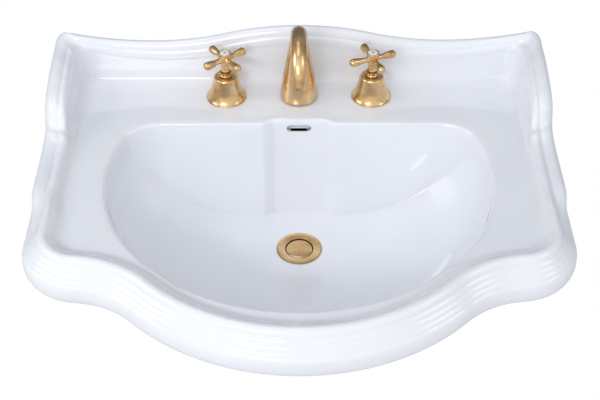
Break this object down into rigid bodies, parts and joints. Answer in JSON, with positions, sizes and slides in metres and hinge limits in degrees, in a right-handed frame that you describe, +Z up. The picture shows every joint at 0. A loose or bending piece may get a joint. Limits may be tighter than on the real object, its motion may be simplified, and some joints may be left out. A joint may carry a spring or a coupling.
{
  "type": "washbasin with taps",
  "caption": "White china washbasin for a pedestal, with a moulded scalloped rim, waved splash-back, brass cross-handle taps, an arched spout and a push-button waste.",
  "frame": {"origin": "midway between the two wall-bolt holes, on the wall plane", "axes": "+X to the user's right, +Y into the wall, +Z up"},
  "size_m": [0.685, 0.5449, 0.3748],
  "materials": {
    "china": "gloss white glaze",
    "antique_brass": "brushed antique",
    "plain_brass": "machined",
    "copper": "drawn tube",
    "rubber": "moulded",
    "hard_ceramic": "lapped",
    "enamel": "white gloss",
    "steel": "bright",
    "plastic": "moulded acetal"
  },
  "bodies": {
    "basin_and_fittings": {"basin": "china", "spout_body": "antique_brass", "spout_aerator": "antique_brass", "waste_flange": "antique_brass", "spout_shank": "plain_brass", "spout_clamp_washer": "plain_brass", "spout_backnut": "plain_brass", "spout_tee": "plain_brass", "waste_backnut": "plain_brass", "spout_gasket": "rubber", "waste_flange_seal": "rubber", "waste_rubber_washer": "rubber", "waste_friction_washer": "plastic", "waste_guide": "plastic", "waste_spring": "steel", "hot_bell_escutcheon": "antique_brass", "hot_gland_collar": "antique_brass", "hot_valve_body": "plain_brass", "hot_cartridge": "plain_brass", "hot_clamp_washer": "plain_brass", "hot_backnut": "plain_brass", "hot_tube_nuts": "plain_brass", "hot_seat_seal": "rubber", "hot_gasket": "rubber", "hot_fixed_disc": "hard_ceramic", "hot_cross_tube": "copper", "cold_bell_escutcheon": "antique_brass", "cold_gland_collar": "antique_brass", "cold_valve_body": "plain_brass", "cold_cartridge": "plain_brass", "cold_clamp_washer": "plain_brass", "cold_backnut": "plain_brass", "cold_tube_nuts": "plain_brass", "cold_seat_seal": "rubber", "cold_gasket": "rubber", "cold_fixed_disc": "hard_ceramic", "cold_cross_tube": "copper"},
    "hot_handle": {"hot_cross_handle": "antique_brass", "hot_handle_screw": "steel", "hot_index_cap": "antique_brass", "hot_index_disc": "enamel", "hot_spindle": "plain_brass", "hot_turning_disc": "hard_ceramic"},
    "cold_handle": {"cold_cross_handle": "antique_brass", "cold_handle_screw": "steel", "cold_index_cap": "antique_brass", "cold_index_disc": "enamel", "cold_spindle": "plain_brass", "cold_turning_disc": "hard_ceramic"},
    "plug": {"waste_plug": "antique_brass", "waste_plug_seal": "rubber", "waste_plug_stem": "plain_brass"}
  },
  "joints": [
    {"name": "hot_handle_turn", "type": "hinge", "parent": "basin_and_fittings", "child": "hot_handle", "pos_m": [-0.1016, -0.06, 0.12], "axis": [0, 0, 1], "range_deg": [0, 90]},
    {"name": "cold_handle_turn", "type": "hinge", "parent": "basin_and_fittings", "child": "cold_handle", "pos_m": [0.1016, -0.06, 0.12], "axis": [0, 0, -1], "range_deg": [0, 90]},
    {"name": "plug_slide", "type": "slide", "parent": "basin_and_fittings", "child": "plug", "axis": [0, 0, 1], "range_m": [0, 0.008], "deforming": ["waste_spring"]}
  ]
}
